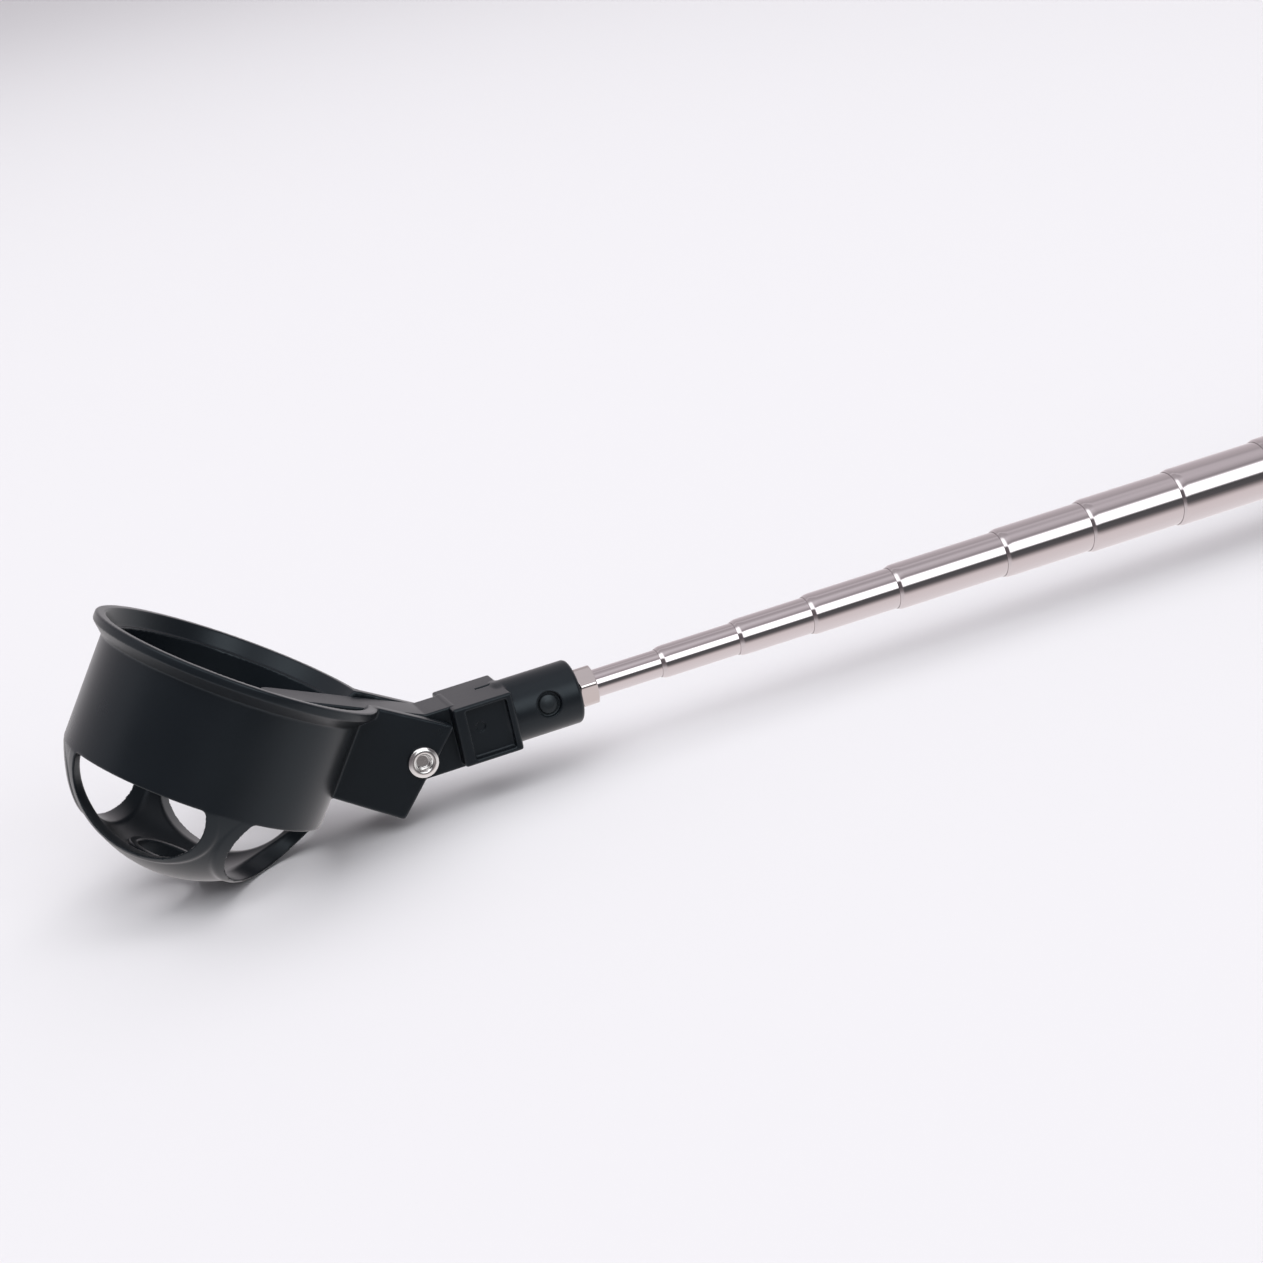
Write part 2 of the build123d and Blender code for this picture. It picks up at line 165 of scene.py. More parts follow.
CORE_END = 394.0
CORE_RADIUS = 10.0
GRIP_START = 222.0
GRIP_TAPER_END = 262.0
GRIP_FRONT_RADIUS = 11.4
GRIP_RADIUS = AXIS_Z
GRIP_EDGE = 0.8
GRIP_SEGMENTS = 240
GRIP_STEP = 0.5
GROOVE_FIRST = 229.0
GROOVE_PITCH = 9.4
GROOVE_DEPTH = 0.6
GROOVE_HALF = 0.75
GROOVE_RANGE = (226.5, 388.0)
FLUTE_COUNT = 30
FLUTE_DEPTH = 0.42
FLUTE_GAP = 1.6
FLUTE_FADE = 0.7
FLUTE_RANGE = (231.0, 383.0)
CAP_RADIUS = 12.9
CAP_THICKNESS = 4.5
CAP_BEVEL = 1.3
CAP_GAP = 0.02
TAB_CENTRE = 403.0
TAB_HALF = 8.5
TAB_THICKNESS = 8.0
LANYARD_RADIUS = 2.5
SPIGOT_RADIUS = 3.0
SPIGOT_START = 387.0

# ---- Mesh fineness, millimetres ----
CUP_CELL = 0.36
NECK_CELL = 0.2
NUT_CELL = 0.1
CAP_CELL = 0.3
TABLE_STEP = 0.07
CUP_SOFTNESS = 0.13
NECK_SOFTNESS = 0.16
TABLE_MARGIN = 3.0
WELL_INSIDE = -1e3
CORNER_STEPS = 5
FIT_ROUNDS = 3
LEAST_SLOPE = 0.05


# ---- Smooth distance fields ----
def smin(a, b, k):
    """The lesser of two fields, blended over k."""
    h = np.clip(0.5 + 0.5 * (b - a) / k, 0, 1)
    return b + (a - b) * h - k * h * (1 - h)


def smax(a, b, k):
    """The greater of two fields, blended over k."""
    return -smin(-a, -b, k)


def box_field(x, y, z, centre, half, edge):
    """Box with rounded edges."""
    qx = np.abs(x - centre[0]) - (half[0] - edge)
    qy = np.abs(y - centre[1]) - (half[1] - edge)
    qz = np.abs(z - centre[2]) - (half[2] - edge)
    outside = np.sqrt(np.maximum(qx, 0) ** 2 + np.maximum(qy, 0) ** 2 + np.maximum(qz, 0) ** 2)
    return outside + np.minimum(np.maximum(np.maximum(qx, qy), qz), 0) - edge


def rod_field(place, radius, start, end, size, edge):
    """Round rod from start to end, with rounded ends' edges."""
    q1 = radius - (size - edge)
    q2 = np.abs(place - (start + end) / 2) - ((end - start) / 2 - edge)
    outside = np.sqrt(np.maximum(q1, 0) ** 2 + np.maximum(q2, 0) ** 2)
    return outside + np.minimum(np.maximum(q1, q2), 0) - edge


def polygon_field(x, y, points):
    """Exact distance to a closed polygon, negative inside."""
    nearest = np.full(x.shape, np.inf)
    sign = np.ones(x.shape)
    for (ax, ay), (bx, by) in zip(points, points[1:] + points[:1]):
        ex, ey = bx - ax, by - ay
        wx, wy = x - ax, y - ay
        t = np.clip((wx * ex + wy * ey) / (ex * ex + ey * ey), 0, 1)
        nearest = np.minimum(nearest, (wx - ex * t) ** 2 + (wy - ey * t) ** 2)
        above, below, left = y >= ay, y < by, ex * wy > ey * wx
        flip = (above & below & left) | (~above & ~below & ~left)
        sign[flip] *= -1
    return sign * np.sqrt(nearest)


class Outline:
    """A closed outline with softened corners, kept as a table of distances."""

    def __init__(self, points, step, soften):
        pts = np.array(points, float)
        self.step = step
        self.low = pts.min(0) - TABLE_MARGIN
        count = np.ceil((pts.max(0) + TABLE_MARGIN - self.low) / step).astype(int) + 1
        xs = self.low[0] + step * np.arange(count[0])
        ys = self.low[1] + step * np.arange(count[1])
        gx, gy = np.meshgrid(xs, ys, indexing="ij")
        table = polygon_field(gx, gy, [tuple(p) for p in pts])
        reach = int(3 * soften / step) + 1
        taps = np.exp(-0.5 * (np.arange(-reach, reach + 1) * step / soften) ** 2)
        taps /= taps.sum()
        for turn in range(2):
            padded = np.pad(table, ((reach, reach), (0, 0)), mode="edge")
            table = sum(w * padded[i : i + table.shape[0]] for i, w in enumerate(taps)).T
        self.table = table

    def __call__(self, x, y):
        nx, ny = self.table.shape
        fx = (x - self.low[0]) / self.step
        fy = (y - self.low[1]) / self.step
        cx, cy = np.clip(fx, 0, nx - 1.001), np.clip(fy, 0, ny - 1.001)
        over = np.hypot(fx - cx, fy - cy) * self.step
        ix, iy = cx.astype(int), cy.astype(int)
        tx, ty = cx - ix, cy - iy
        t = self.table
        low = t[ix, iy] * (1 - tx) + t[ix + 1, iy] * tx
        high = t[ix, iy + 1] * (1 - tx) + t[ix + 1, iy + 1] * tx
        return low * (1 - ty) + high * ty + over


def gradient(field, points, step=0.03):
    """Slope of a field by central differences."""
    result = np.empty_like(points)
    for axis in range(3):
        move = np.zeros(3)
        move[axis] = step
        result[:, axis] = (field(points + move) - field(points - move)) / (2 * step)
    return result


def skin_of(field, low, high, cell):
    """Vertices, quads and normals of a field's zero surface."""
    low, high = np.array(low, float), np.array(high, float)
    count = np.ceil((high - low) / cell).astype(int) + 1
    xs, ys, zs = (low[a] + cell * np.arange(count[a]) for a in range(3))
    gy, gz = np.meshgrid(ys, zs, indexing="ij")
    gy, gz = gy.ravel(), gz.ravel()
    values = np.empty(count, np.float32)
    for i, x in enumerate(xs):
        points = np.column_stack((np.full(gy.size, x), gy, gz))
        values[i] = field(points).reshape(count[1], count[2])
    inside = values < 0
    n = count - 1
    total = np.zeros(n, np.uint8)
    for i in (0, 1):
        for j in (0, 1):
            for k in (0, 1):
                total += inside[i : n[0] + i, j : n[1] + j, k : n[2] + k]
    active = (total > 0) & (total < 8)
    ids = np.full(n, -1, np.int64)
    cells = np.argwhere(active)
    ids[active] = np.arange(len(cells))
    place = np.zeros((len(cells), 3))
    hits = np.zeros(len(cells))
    for axis in range(3):
        one, two = (axis + 1) % 3, (axis + 2) % 3
        for a in (0, 1):
            for b in (0, 1):
                start = np.zeros(3, int)
                start[one], start[two] = a, b
                end = start.copy()
                end[axis] = 1
                v0 = values[tuple((cells + start).T)].astype(float)
                v1 = values[tuple((cells + end).T)].astype(float)
                cross = (v0 < 0) != (v1 < 0)
                spot = (cells + start).astype(float)[cross]
                spot[:, axis] += v0[cross] / (v0[cross] - v1[cross])
                place[cross] += spot
                hits[cross] += 1
    verts = low + cell * place / hits[:, None]
    quads = []
    for axis in range(3):
        one, two = (axis + 1) % 3, (axis + 2) % 3
        near, far = [slice(1, -1)] * 3, [slice(1, -1)] * 3
        near[axis], far[axis] = slice(0, -1), slice(1, None)
        first, second = inside[tuple(near)], inside[tuple(far)]
        change = first != second
        base = np.argwhere(change)
        base[:, one] += 1
        base[:, two] += 1

        def corner(d1, d2):
            c = base.copy()
            c[:, one] -= d1
            c[:, two] -= d2
            return ids[tuple(c.T)]

        quad = np.column_stack((corner(1, 1), corner(0, 1), corner(0, 0), corner(1, 0)))
        outward = first[change]
        quad[~outward] = quad[~outward][:, ::-1]
        quads.append(quad)
    quads = np.concatenate(quads)
    for turn in range(FIT_ROUNDS):
        slope = gradient(field, verts)
        length = np.maximum((slope**2).sum(1), LEAST_SLOPE)
        move = slope * (field(verts) / length)[:, None]
        size = np.maximum(np.linalg.norm(move, axis=1), 1e-9)
        verts = verts - move * np.minimum(1, 0.5 * cell / size)[:, None]
    normals = gradient(field, verts)
    normals /= np.maximum(np.linalg.norm(normals, axis=1), 1e-9)[:, None]
    return verts, quads, normals


# ---- Meshes ----
def make_piece(name, verts, faces, normals, material, body, nodes):
    """A mesh in millimetres becomes a piece on a body, in place of CAD nodes."""
    mesh = bpy.data.meshes.new(name)
    faces = faces.tolist() if isinstance(faces, np.ndarray) else faces
    mesh.from_pydata((np.asarray(verts) / 1000).tolist(), [], faces)
    mesh.shade_smooth()
    if normals is not None:
        mesh.normals_split_custom_set_from_vertices(np.asarray(normals).tolist())
    mesh.materials.append(materials[material])
    piece = bpy.data.objects.new(name, mesh)
    bpy.context.scene.collection.objects.link(piece)
    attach(piece, body)
    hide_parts(*nodes)


def rounded(outline):
    """Points and outward normals of a closed outline of (place, radius, rounding)."""
    area = 0.0
    for (ax, ay, ar), (bx, by, br) in zip(outline, outline[1:] + outline[:1]):
        area += ax * by - bx * ay
    if area < 0:
        outline = outline[::-1]
    points, normals = [], []
    count = len(outline)
    for i, (x, y, rounding) in enumerate(outline):
        before, after = outline[i - 1], outline[(i + 1) % count]
        d1 = np.array([x - before[0], y - before[1]])
        d2 = np.array([after[0] - x, after[1] - y])
        l1, l2 = np.linalg.norm(d1), np.linalg.norm(d2)
        d1, d2 = d1 / l1, d2 / l2
        n1, n2 = np.array([d1[1], -d1[0]]), np.array([d2[1], -d2[0]])
        reach = min(rounding, 0.45 * l1, 0.45 * l2)
        corner = np.array([x, y])
        if reach <= 0 or np.dot(n1, n2) > 0.9999:
            points.append(corner)
            normals.append((n1 + n2) / np.linalg.norm(n1 + n2))
            continue
        for step in range(CORNER_STEPS + 1):
            t = step / CORNER_STEPS
            start, end = corner - reach * d1, corner + reach * d2
            points.append((1 - t) ** 2 * start + 2 * t * (1 - t) * corner + t * t * end)
            normal = (1 - t) * n1 + t * n2
            normals.append(normal / max(np.linalg.norm(normal), 1e-6))
    return np.array(points), np.array(normals)


def turned(outline, segments, origin, axis):
    """Lathe mesh of a closed outline about an axis, in millimetres."""
    points, flat_normals = rounded(outline)
    axis = np.array(axis, float)
    side = np.cross(axis, (0.3, 0.5, 0.8))
    side /= np.linalg.norm(side)
    other = np.cross(axis, side)
    verts, normals, rings = [], [], []
    angles = 2 * math.pi * np.arange(segments) / segments
    circle = np.cos(angles)[:, None] * side + np.sin(angles)[:, None] * other
    for (place, radius), (na, nr) in zip(points, flat_normals):
        if radius < 1e-4:
            rings.append([len(verts)] * segments)
            verts.append(np.array(origin) + axis * place)
            normals.append(axis * (1 if na > 0 else -1))
            continue
        rings.append(list(range(len(verts), len(verts) + segments)))
        verts.extend(np.array(origin) + axis * place + circle * radius)
        normals.extend(axis * na + circle * nr)
    faces = []
    count = len(rings)
    for i in range(count):
        a, b = rings[i], rings[(i + 1) % count]
        for j in range(segments):
            k = (j + 1) % segments
            face = list(dict.fromkeys((a[j], b[j], b[k], a[k])))
            if len(face) > 2:
                faces.append(face)
    verts, normals = np.array(verts), np.array(normals)
    f = next(face for face in faces if len(face) == 4)
    across = np.cross(verts[f[1]] - verts[f[0]], verts[f[2]] - verts[f[0]])
    if np.dot(across, normals[f[0]]) < 0:
        faces = [face[::-1] for face in faces]
    return verts, faces, normals


# ---- Materials ----
materials = {}
CLOUD_SCALE = 40
CLOUD_DETAIL = 4
GRAIN_DETAIL = 3
CLOUD_LOW = 0.3
CLOUD_HIGH = 0.7
DARKER = 0.93
LIGHTER = 1.05
GRAIN_HEIGHT = 0.0001
PLAIN = (1, 1, 1)
COOL = (0.80, 0.93, 1.0)
ALONG_X = (0.06, 1, 1)


def finish_of(
    name, colour, metal, rough, spread, grain, depth, stretch=PLAIN, spec=0.5, tint=PLAIN
):
    """Procedural finish: colour and roughness that wander, and a fine surface grain."""
    material = bpy.data.materials.new(name)
    material.use_nodes = True
    tree = material.node_tree
    shader = tree.nodes["Principled BSDF"]
    shader.inputs["Metallic"].default_value = metal
    shader.inputs["Specular IOR Level"].default_value = spec
    shader.inputs["Specular Tint"].default_value = (*tint, 1)
    where = tree.nodes.new("ShaderNodeTexCoord")
    mapping = tree.nodes.new("ShaderNodeMapping")
    mapping.inputs["Scale"].default_value = stretch
    tree.links.new(where.outputs["Object"], mapping.inputs["Vector"])
    wander = tree.nodes.new("ShaderNodeTexNoise")
    wander.inputs["Scale"].default_value = CLOUD_SCALE
    wander.inputs["Detail"].default_value = CLOUD_DETAIL
    tree.links.new(mapping.outputs["Vector"], wander.inputs["Vector"])
    rougher = tree.nodes.new("ShaderNodeMapRange")
    rougher.inputs["From Min"].default_value = CLOUD_LOW
    rougher.inputs["From Max"].default_value = CLOUD_HIGH
    rougher.inputs["To Min"].default_value = rough - spread
    rougher.inputs["To Max"].default_value = rough + spread
    tree.links.new(wander.outputs["Fac"], rougher.inputs["Value"])
    tree.links.new(rougher.outputs["Result"], shader.inputs["Roughness"])
    shades = tree.nodes.new("ShaderNodeValToRGB")
    dark, light = shades.color_ramp.elements
    dark.position = CLOUD_LOW
    dark.color = (*[c * DARKER for c in colour], 1)
    light.position = CLOUD_HIGH
    light.color = (*[min(1, c * LIGHTER) for c in colour], 1)
    tree.links.new(wander.outputs["Fac"], shades.inputs["Fac"])
    tree.links.new(shades.outputs["Color"], shader.inputs["Base Color"])
    fine = tree.nodes.new("ShaderNodeTexNoise")
    fine.inputs["Scale"].default_value = grain
    fine.inputs["Detail"].default_value = GRAIN_DETAIL
    tree.links.new(mapping.outputs["Vector"], fine.inputs["Vector"])
    bump = tree.nodes.new("ShaderNodeBump")
    bump.inputs["Strength"].default_value = depth
    bump.inputs["Distance"].default_value = GRAIN_HEIGHT
    tree.links.new(fine.outputs["Fac"], bump.inputs["Height"])
    tree.links.new(bump.outputs["Normal"], shader.inputs["Normal"])
    materials[name] = material


# name, colour, metallic, roughness and its spread, grain scale and strength
finish_of("scoop_plastic", (0.006, 0.008, 0.0105), 0, 0.30, 0.04, 2600, 0.10, spec=0.35, tint=COOL)
finish_of("neck_plastic", (0.007, 0.009, 0.0115), 0, 0.34, 0.05, 2600, 0.12, spec=0.35, tint=COOL)
finish_of("tube_steel", (0.66, 0.62, 0.63), 1, 0.09, 0.02, 900, 0.012, ALONG_X)
finish_of("nut_steel", (0.66, 0.62, 0.61), 1, 0.12, 0.03, 1500, 0.03)
finish_of("rivet_metal", (0.78, 0.78, 0.77), 1, 0.16, 0.04, 1800, 0.05)
finish_of("screw_steel", (0.009, 0.011, 0.013), 0, 0.34, 0.05, 2000, 0.10, tint=COOL)
finish_of("ring_bronze", (0.55, 0.38, 0.2), 1, 0.28, 0.05, 1500, 0.08)
finish_of("grip_rubber", (0.028, 0.028, 0.03), 0, 0.62, 0.06, 2200, 0.35, spec=0.4)
finish_of("handle_plastic", (0.03, 0.03, 0.034), 0, 0.3, 0.05, 2400, 0.08)

slots = {entry["node"]: entry["material_slot"] for entry in frame["record"]["subparts"]}
for node, piece in frame["nodes"].items():
    piece.data.materials.clear()
    piece.data.materials.append(materials[slots[node]])


# ---- Scoop cup in its own axes: u towards the hinge, v across, w out of its mouth ----
def dome_arc(sphere, start, end, steps=40):
    """Points on the round bottom between two radii."""
    a, b = math.asin(start / sphere), math.asin(end / sphere)
    turns = [a + (b - a) * i / steps for i in range(steps + 1)]
    return [(sphere * math.sin(t), -DOME_DEPTH - sphere * math.cos(t)) for t in turns]


inner_wall = WALL_RADIUS - WALL
inner_sphere = DOME_RADIUS - DOME_THICKNESS
drain_inner = -DOME_DEPTH - math.sqrt(inner_sphere**2 - DRAIN_LIP_RADIUS**2)
cup_turned = Outline(
    dome_arc(DOME_RADIUS, DRAIN_RADIUS, WALL_RADIUS)
    + [
        (WALL_RADIUS, -LIP_DEPTH),
        (RIM_RADIUS, -RIM_EDGE),
        (RIM_RADIUS, -0.3),
        (RIM_RADIUS - 0.3, 0),
        (RIM_RADIUS - RIM_FACE, 0),
        (inner_wall + LEDGE, -FUNNEL_DEPTH),
        (inner_wall, -FUNNEL_DEPTH),
    ]
    + dome_arc(inner_sphere, inner_wall, DRAIN_LIP_RADIUS)
    + [(DRAIN_LIP_RADIUS, drain_inner + DRAIN_LIP), (DRAIN_RADIUS, drain_inner + DRAIN_LIP)],
    TABLE_STEP,
    CUP_SOFTNESS,
)


def ellipse_field(x, y, a, b):
    """Near distance to an ellipse's edge."""
    k0 = np.hypot(x / a, y / b)
    k1 = np.maximum(np.hypot(x / a**2, y / b**2), 1e-6)
    return k0 * (k0 - 1) / k1


def cup_field(p):
    """The whole cup; the bare numbers are the roundings where its parts meet."""
    u, v, w = p.T
    along, up = u - CUP_OFFSET, w + RIM_HEIGHT
    radius = np.hypot(u, v)
    body = cup_turned(radius, w)
    ball = np.hypot(radius, w + DOME_DEPTH + FRAME_SHIFT)
    shell = np.abs(ball - FRAME_RADIUS + FRAME_SKIN) - FRAME_SKIN
    windows = []
    for index in range(4):
        turn = math.radians(WINDOW_TURN + 45 + 90 * index)
        out = u * math.cos(turn) + v * math.sin(turn)
        side = v * math.cos(turn) - u * math.sin(turn)
        fall = w + WINDOW_DEPTH + WINDOW_BELLY
        rim = ellipse_field(side, fall, WINDOW_HALF + FRAME_SIDE, WINDOW_FALL + FRAME_FOOT)
        rim = smax(smax(rim, w + WINDOW_DEPTH, 0.3), shell, 0.35)
        body = smin(body, np.maximum(rim, FRAME_FROM_AXIS - out), 0.25)
        window = smax(ellipse_field(side, fall, WINDOW_HALF, WINDOW_FALL), w + WINDOW_DEPTH, 0.8)
        windows.append(np.maximum(window, -out))
    for window in windows:
        body = smax(body, -window, 0.45)
    cheek = np.full(u.shape, WELL_INSIDE)
    for (ax, ay), (bx, by) in zip(CHEEK, CHEEK[1:] + CHEEK[:1]):
        length = math.hypot(bx - ax, by - ay)
        plane = ((along - ax) * (by - ay) - (up - ay) * (bx - ax)) / length
        cheek = smax(cheek, plane, 0.9)
    middle, half = (CHEEK_OUT + CHEEK_IN) / 2, (CHEEK_OUT - CHEEK_IN) / 2
    cheek = smax(cheek, np.abs(np.abs(v) - middle) - half, 0.6)
    body = smin(body, cheek, 0.5)
    place = (NOTCH_START + NOTCH_END) / 2
    half = ((NOTCH_END - NOTCH_START) / 2, CHEEK_IN, NOTCH_DEPTH + NOTCH_ABOVE)
    notch = box_field(along, v, up, (place, 0, RIM_HEIGHT + NOTCH_ABOVE), half, 0.3)
    body = smax(body, -notch, 0.5)
    body = smax(body, BORE - np.hypot(along, up), 0.2)
    z = PIN_Z - along * math.sin(TILT) + up * math.cos(TILT)
    return np.maximum(body, 0.002 - z)


def cup_to_world(points, move):
    """The cup's axes to the frame's; directions are turned only."""
    u, v, w = np.asarray(points).T
    along = u - CUP_OFFSET if move else u
    up = w + RIM_HEIGHT if move else w
    x = along * math.cos(TILT) + up * math.sin(TILT) + (PIN_X if move else 0)
    z = up * math.cos(TILT) - along * math.sin(TILT) + (PIN_Z if move else 0)
    return np.column_stack((x, v, z))


verts, quads, normals = skin_of(cup_field, (-29.8, -29.8, -46.0), (44.9, 29.8, 2.0), CUP_CELL)
verts, normals = cup_to_world(verts, True), cup_to_world(normals, False)
make_piece("scoop_cup_shell", verts, quads, normals, "scoop_plastic", "cup", ["scoop_cup"])

# ---- Hinge rivet: rolled head with a recess at each end; place, radius, rounding ----
rivet_side = [
    (0.0, RIVET_SHANK, 0),
    (CHEEK_OUT + 0.02, RIVET_SHANK, 0.05),
    (CHEEK_OUT + 0.02, RIVET_HEAD - 0.08, 0.3),
    (CHEEK_OUT + 0.55, RIVET_HEAD, 0.35),
    (CHEEK_OUT + RIVET_RISE, 2.5, 0.5),
    (CHEEK_OUT + RIVET_RISE, 1.95, 0.3),
    (CHEEK_OUT + 0.3, 1.5, 0.4),
    (CHEEK_OUT - RIVET_RECESS, 1.35, 0.2),
    (CHEEK_OUT - RIVET_RECESS, 0.0, 0),
]
rivet_outline = rivet_side + [(-s, r, c) for s, r, c in rivet_side[::-1][:-1]]
verts, faces, normals = turned(rivet_outline, 96, (PIN_X, 0, PIN_Z), (0, 1, 0))
make_piece("hinge_rivet_metal", verts, faces, normals, "rivet_metal", "cup", ["hinge_rivet"])

# ---- Pivot neck: places along the shaft from the pin, y across, h above the shaft's axis ----
finger_cos, finger_sin = math.cos(FINGER_RISE), math.sin(FINGER_RISE)
tip_top = (CREASE - FINGER_LENGTH * finger_cos, BOX_TOP + FINGER_LENGTH * finger_sin)
tip_low = (tip_top[0] - FINGER_THICKNESS * finger_sin, tip_top[1] - FINGER_THICKNESS * finger_cos)
nose = TONGUE_BOTTOM - PIN_DROP
root = tip_low[1] - (-nose - tip_low[0]) * math.tan(FINGER_RISE)
nose_turns = np.linspace(0, math.pi / 2, TONGUE_TURNS)
nose_arc = [(-nose * math.cos(t), -PIN_DROP - nose * math.sin(t)) for t in nose_turns]
tongue_top = [(CREASE, BOX_TOP), tip_top, tip_low, (-nose, root)]
tongue_side = Outline(
    nose_arc + [(BOX_FRONT + 1, -TONGUE_BOTTOM), (BOX_FRONT + 1, BOX_TOP)] + tongue_top,
    TABLE_STEP,
    NECK_SOFTNESS,
)
screw_out = np.array([0.0, -math.cos(SCREW_TURN), math.sin(SCREW_TURN)])


def neck_field(p):
    """The whole neck; the bare numbers are the roundings where its parts meet."""
    s, y, h = p[:, 0] - PIN_X, p[:, 1], p[:, 2] - AXIS_Z
    radius = np.hypot(y, h)
    tongue = smax(tongue_side(s, h), np.abs(y) - TONGUE_HALF, 0.5)
    reach = (h - BOX_TOP) * finger_sin - (s - CREASE) * finger_cos
    qx = reach - (FINGER_LENGTH - FINGER_CORNER)
    qy = np.abs(y) - (TONGUE_HALF - FINGER_CORNER)
    plan = np.hypot(np.maximum(qx, 0), np.maximum(qy, 0)) + np.minimum(np.maximum(qx, qy), 0)
    tongue = smax(tongue, plan - FINGER_CORNER, 0.4)
    middle = (BOX_FRONT + BOX_BACK) / 2
    half = ((BOX_BACK - BOX_FRONT) / 2, BOX_HALF, (BOX_TOP + BOX_BOTTOM) / 2)
    block = box_field(s, y, h, (middle, 0, (BOX_TOP - BOX_BOTTOM) / 2), half, 0.55)
    pocket_out = BOX_HALF + POCKET_HALF[1] - POCKET_DEPTH
    centre = (POCKET_PLACE, pocket_out, POCKET_HEIGHT)
    block = smax(block, -box_field(s, np.abs(y), h, centre, POCKET_HALF, 0.5), 0.35)
    across = np.hypot(s - MARK_PLACE, h - MARK_HEIGHT)
    mark = rod_field(np.abs(y), across, MARK_FLOOR, MARK_FLOOR + 1, MARK_RADIUS, 0.1)
    block = smax(block, -mark, 0.12)
    slot = box_field(s, y, h, (*SLOT_PLACE, BOX_TOP), SLOT_HALF, 0.1)
    block = smax(block, -slot, 0.25)
    barrel = rod_field(s, radius, BARREL_START, BARREL_END, BARREL_RADIUS, 0.9)
    body = smin(smin(block, tongue, 0.35), barrel, 0.5)
    well = (p - np.array([PIN_X + SCREW_PLACE, 0, AXIS_Z])) @ screw_out
    spread = np.sqrt(np.maximum(((s - SCREW_PLACE) ** 2 + radius**2) - well**2, 0))
    hole = rod_field(well, spread, BARREL_RADIUS - WELL_DEPTH, BARREL_RADIUS + 3, WELL_RADIUS, 0.2)
    body = smax(body, -hole, 0.35)
    bore = rod_field(s, radius, STUD_BORE_START, BARREL_END + 3, STUD_BORE, 0.1)
    body = smax(body, -bore, 0.3)
    return smax(body, BORE - np.hypot(s, h + PIN_DROP), 0.2)


low = (PIN_X - 28.0, -8.5, AXIS_Z - 7.4)
high = (PIN_X + 36.2, 8.5, AXIS_Z + 20.2)
verts, quads, normals = skin_of(neck_field, low, high, NECK_CELL)
make_piece("pivot_neck_shell", verts, quads, normals, "neck_plastic", "neck", ["pivot_neck"])

# ---- Set screw: domed peg; place along it, radius, rounding ----
screw_outline = [
    (2.5, 0.0, 0),
    (2.5, SCREW_RADIUS, 0.15),
    (5.2, SCREW_RADIUS, 0.1),
    (5.3, 2.05, 0.1),
    (5.75, 1.95, 0.4),
    (6.05, 0.9, 0.6),
    (6.1, 0.0, 0),
]
verts, faces, normals = turned(screw_outline, 64, (PIN_X + SCREW_PLACE, 0, AXIS_Z), screw_out)
make_piece("set_screw_peg", verts, faces, normals, "screw_steel", "neck", ["neck_set_screw"])


# ---- Lock nut ----
def nut_field(p):
    """Hexagonal nut with chamfered corners."""
    s, y, h = p[:, 0] - PIN_X, p[:, 1], p[:, 2] - AXIS_Z
    radius = np.hypot(y, h)
    flats = np.full(s.shape, WELL_INSIDE)
    for turn in NUT_TURNS:
        a = math.radians(turn)
        flats = np.maximum(flats, np.abs(y * math.cos(a) + h * math.sin(a)) - NUT_HALF_FLATS)
    deep = np.abs(s - (NUT_START + NUT_END) / 2) - (NUT_END - NUT_START) / 2
    body = smax(smax(flats, radius - NUT_CORNER, 0.12), deep, 0.12)
    chamfer = radius - NUT_CHAMFER_RADIUS + NUT_CHAMFER_SLOPE * deep
    body = smax(body, chamfer / math.hypot(1, NUT_CHAMFER_SLOPE), 0.12)
    return smax(body, STUD_BORE + PLAY - radius, 0.2)


low = (PIN_X + NUT_START - 0.3, -4.8, AXIS_Z - 4.8)
high = (PIN_X + NUT_END + 0.3, 4.8, AXIS_Z + 4.8)
verts, quads, normals = skin_of(nut_field, low, high, NUT_CELL)
make_piece("lock_nut_metal", verts, quads, normals, "nut_steel", "neck", ["lock_nut"])


# ---- Telescopic tubes: necked and rolled mouths, flared tails ----
def tube_outline(number):
    """Closed outline of a tube's wall: place, radius, rounding."""
    outer = FIRST_RADIUS + STEP * (number - 1)
    inner = outer - TUBE_WALL
    front = FRONTS[number - 1]
    tail = front + LENGTHS[number - 1]
    if number == 1:
        mouth = [(front, inner, 0.06), (front, outer, 0.12)]
        inside = []
    else:
        guide = outer - STEP + PLAY
        mouth = [
            (front, guide, 0.03),
            (front, guide + MOUTH_LIP, 0.04),
            (front + MOUTH_ROUND, guide + MOUTH_SHOULDER, 0.35),
            (front + MOUTH_LENGTH, outer, 0.5),
        ]
        inside = [(front + MOUTH_INSIDE, inner, 0.2), (front + MOUTH_LENGTH, guide, 0.2)]
    if number < len(FRONTS):
        start, wide = tail - FLARE_LENGTH, outer + FLARE
        flare = [(start, outer, 0.05), (start, wide, 0.05), (tail, wide, 0.05)]
    else:
        flare = [(tail, outer, 0.08)]
    return mouth + flare + [(tail, inner, 0.05)] + inside


for number in range(1, len(FRONTS) + 1):
    verts, faces, normals = turned(tube_outline(number), 128, (PIN_X, 0, AXIS_Z), (1, 0, 0))
    body = "neck" if number == 1 else "handle" if number == len(FRONTS) else f"stage_{number}"
    name = f"shaft_tube_{number}"
    make_piece(name + "_drawn", verts, faces, normals, "tube_steel", body, [name])

